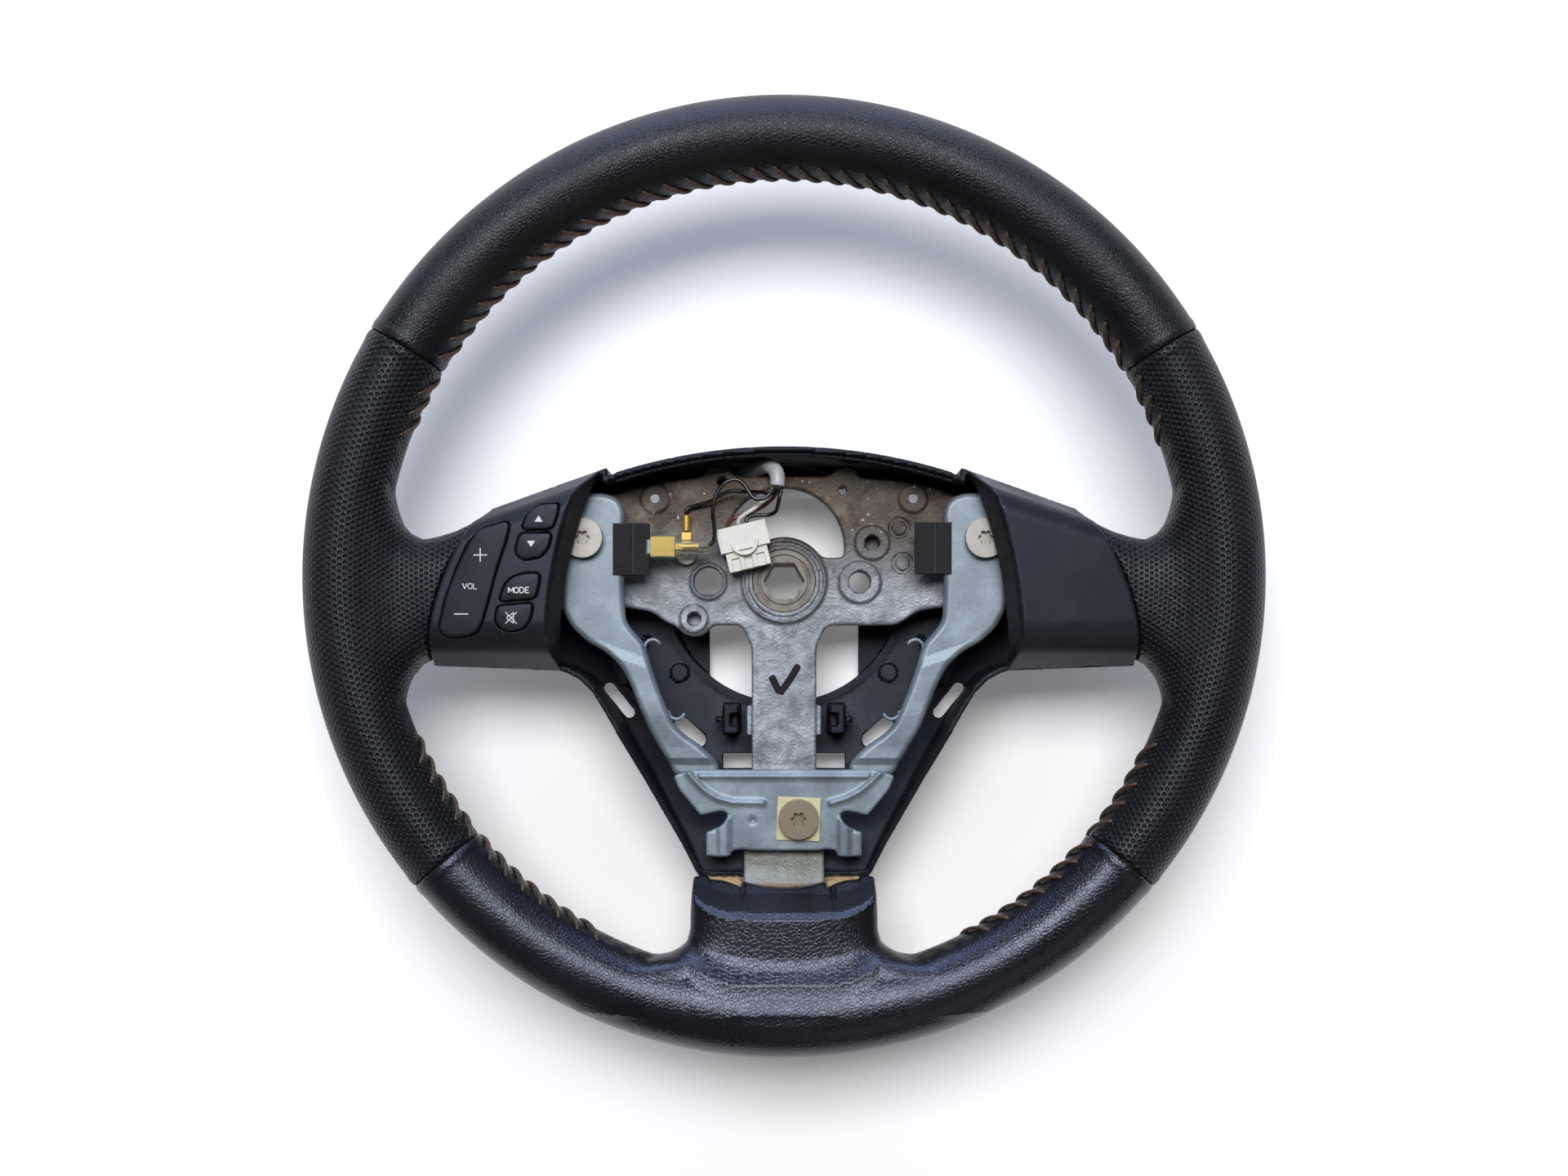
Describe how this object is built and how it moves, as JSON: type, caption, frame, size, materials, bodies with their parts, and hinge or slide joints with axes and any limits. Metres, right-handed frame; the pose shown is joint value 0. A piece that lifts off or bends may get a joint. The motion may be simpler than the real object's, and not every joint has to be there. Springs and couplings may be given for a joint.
{
  "type": "car steering wheel",
  "caption": "Three-spoke car steering wheel with a stitched leather rim, a cast hub frame, spoke switches and a sprung horn plate, with its airbag module taken out.",
  "frame": {"origin": "centre of the rear collar's face, on the steering axis", "axes": "+Z along the steering axis towards the driver, +Y to the top of the wheel, +X to the driver's right"},
  "size_m": [0.37, 0.37, 0.0756],
  "materials": {
    "cast_alloy": "sand-blasted die casting, dull grey-brown",
    "hub_steel": "machined steel, oiled",
    "ring_steel": "drawn bar",
    "foam": "moulded polyurethane foam, tan",
    "smooth_leather": "smooth, semi-gloss",
    "perforated_leather": "perforated, satin",
    "grained_leather": "fine grain, satin",
    "black_plastic": "fine moulded grain, black",
    "cover_plastic": "fine moulded grain, charcoal",
    "key_plastic": "satin, charcoal",
    "silicone": "matt, pale grey",
    "board": "green solder mask",
    "zinc_sheet": "zinc plated, bluish silver",
    "nylon": "cream",
    "satin_steel": "satin, slightly brown",
    "spring_steel": "bright wire",
    "cloth_tape": "woven black tape",
    "brass": "yellow chromate, satin",
    "clear_sleeve": "clear, slightly yellow",
    "white_nylon": "milky white",
    "sheath_plastic": "pale grey, soft",
    "white_insulation": "glossy",
    "brown_insulation": "glossy",
    "black_insulation": "glossy"
  },
  "bodies": {
    "wheel": {"armature": "cast_alloy", "hub_sleeve": "hub_steel", "rim_ring": "ring_steel", "rim_foam": "foam", "leather_top": "smooth_leather", "leather_left": "perforated_leather", "leather_right": "perforated_leather", "leather_bottom": "grained_leather", "rear_cover": "black_plastic", "rear_cover_screws": "satin_steel", "spoke_cover_left": "cover_plastic", "spoke_cover_right": "cover_plastic", "keypad_mat": "silicone", "switch_board": "board", "switch_housing": "black_plastic", "horn_plate_screws": "satin_steel", "horn_springs": "spring_steel", "ground_terminal": "brass", "ground_screw": "satin_steel", "connector_housing": "white_nylon", "harness_sheath": "sheath_plastic", "wire_white": "white_insulation", "wire_brown": "brown_insulation", "wire_black": "black_insulation", "wire_horn": "black_insulation", "wire_ground": "black_insulation"},
    "horn_plate": {"bracket_arm_left": "zinc_sheet", "bracket_arm_right": "zinc_sheet", "bracket_lower_plate": "zinc_sheet", "insulating_bushings": "nylon", "tape_pads": "cloth_tape", "horn_terminal": "brass", "terminal_sleeve": "clear_sleeve"},
    "volume_key": {"volume_rocker": "key_plastic"},
    "seek_up_key": {"seek_up_button": "key_plastic"},
    "seek_down_key": {"seek_down_button": "key_plastic"},
    "mode_key": {"mode_button": "key_plastic"},
    "mute_key": {"mute_button": "key_plastic"}
  },
  "joints": [
    {"name": "horn_press", "type": "slide", "parent": "wheel", "child": "horn_plate", "axis": [0, 0, -1], "range_m": [0, 0.0013], "stiffness_N_per_m": 15000, "springref_m": -0.002, "deforming": ["horn_springs"]},
    {"name": "volume_rock", "type": "hinge", "parent": "wheel", "child": "volume_key", "pos_m": [-0.11444, -0.0025, 0.06283], "axis": [0.8959, -0.4384, 0.0717], "range_deg": [-2, 2], "stiffness_Nm_per_rad": 0.05},
    {"name": "seek_up_press", "type": "slide", "parent": "wheel", "child": "seek_up_key", "axis": [0.0797, 0, -0.9968], "range_m": [0, 0.0008], "stiffness_N_per_m": 400, "springref_m": -0.005},
    {"name": "seek_down_press", "type": "slide", "parent": "wheel", "child": "seek_down_key", "axis": [0.0797, 0, -0.9968], "range_m": [0, 0.0008], "stiffness_N_per_m": 400, "springref_m": -0.005},
    {"name": "mode_press", "type": "slide", "parent": "wheel", "child": "mode_key", "axis": [0.0797, 0, -0.9968], "range_m": [0, 0.0008], "stiffness_N_per_m": 400, "springref_m": -0.005},
    {"name": "mute_press", "type": "slide", "parent": "wheel", "child": "mute_key", "axis": [0.0797, 0, -0.9968], "range_m": [0, 0.0008], "stiffness_N_per_m": 400, "springref_m": -0.005}
  ]
}
